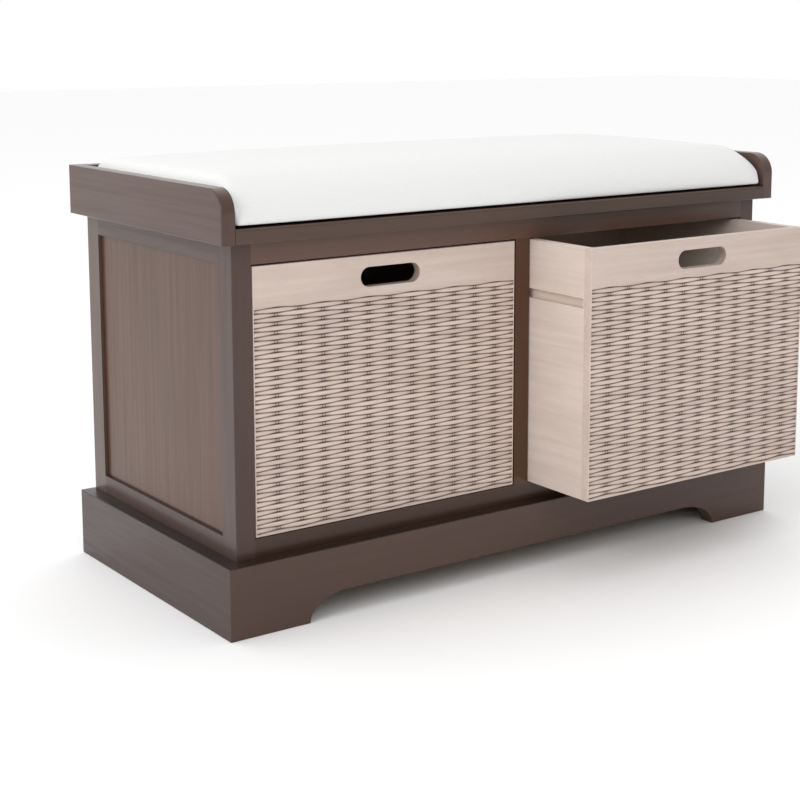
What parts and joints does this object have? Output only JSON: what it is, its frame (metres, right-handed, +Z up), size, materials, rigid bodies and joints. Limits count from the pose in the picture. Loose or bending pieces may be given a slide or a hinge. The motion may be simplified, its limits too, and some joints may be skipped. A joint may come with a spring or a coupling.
{
  "type": "storage bench",
  "caption": "Wooden hall bench on a bracket-foot plinth with basket-weave drawers on wooden runners and a lift-off cushion between raised end rails.",
  "frame": {"origin": "on the floor under the middle of the bench: midway across its width and midway between the plinth front and the back rail, the right drawer not counted", "axes": "+X to the right along the front, as seen by someone facing it; +Y from front to back; +Z up"},
  "size_m": [0.8204, 0.471, 0.499],
  "materials": {
    "stained_wood": "satin grey-brown stain over vertical grain",
    "whitewashed_wood": "matt whitewashed beige stain",
    "plain_wood": "bare planed softwood",
    "plywood": "bare sanded plywood",
    "hardboard": "smooth brown hardboard",
    "screw_steel": "zinc plated",
    "cushion_fabric": "white plain-weave polyester",
    "dust_cover": "black non-woven",
    "hook_and_loop": "black nylon hook and loop"
  },
  "bodies": {
    "carcass": {"plinth_front": "stained_wood", "plinth_left": "stained_wood", "plinth_right": "stained_wood", "plinth_back": "stained_wood", "front_left_post": "stained_wood", "front_right_post": "stained_wood", "rear_left_post": "stained_wood", "rear_right_post": "stained_wood", "front_top_rail": "stained_wood", "front_bottom_rail": "stained_wood", "centre_stile": "stained_wood", "left_side_top_rail": "stained_wood", "left_side_bottom_rail": "stained_wood", "left_side_panel": "stained_wood", "right_side_top_rail": "stained_wood", "right_side_bottom_rail": "stained_wood", "right_side_panel": "stained_wood", "back_top_rail": "stained_wood", "back_bottom_rail": "stained_wood", "seat_board": "stained_wood", "left_gallery_rail": "stained_wood", "right_gallery_rail": "stained_wood", "back_gallery_rail": "stained_wood", "centre_partition": "stained_wood", "back_panel": "hardboard", "plinth_corner_blocks": "plain_wood", "plinth_ledgers": "plain_wood", "centre_foot": "plain_wood", "bottom_cleats": "plain_wood", "seat_bearer": "plain_wood", "left_outer_runner": "plain_wood", "left_inner_runner": "plain_wood", "right_inner_runner": "plain_wood", "right_outer_runner": "plain_wood", "left_runner_packer": "plain_wood", "right_runner_packer": "plain_wood", "drawer_stop_blocks": "plain_wood", "frame_dowels": "plain_wood", "gallery_dowels": "plain_wood", "bottom_board": "plywood", "base_screws": "screw_steel", "runner_screws": "screw_steel", "seat_screws": "screw_steel", "seat_hook_strips": "hook_and_loop"},
    "left_drawer": {"left_drawer_front": "whitewashed_wood", "left_drawer_left_side": "whitewashed_wood", "left_drawer_right_side": "whitewashed_wood", "left_drawer_back": "whitewashed_wood", "left_drawer_bottom": "hardboard", "left_drawer_dowels": "plain_wood"},
    "right_drawer": {"right_drawer_front": "whitewashed_wood", "right_drawer_left_side": "whitewashed_wood", "right_drawer_right_side": "whitewashed_wood", "right_drawer_back": "whitewashed_wood", "right_drawer_bottom": "hardboard", "right_drawer_dowels": "plain_wood"},
    "cushion": {"cushion_pad": "cushion_fabric", "cushion_base_board": "plywood", "cushion_dust_cover": "dust_cover", "cushion_loop_strips": "hook_and_loop"}
  },
  "joints": [
    {"name": "left_drawer_slide", "type": "slide", "parent": "carcass", "child": "left_drawer", "axis": [0, -1, 0], "range_m": [0, 0.222]},
    {"name": "right_drawer_slide", "type": "slide", "parent": "carcass", "child": "right_drawer", "axis": [0, -1, 0], "range_m": [-0.109, 0.113]},
    {"name": "cushion_lift", "type": "slide", "parent": "carcass", "child": "cushion", "axis": [0, 0, 1], "range_m": [0, 0.12]}
  ]
}
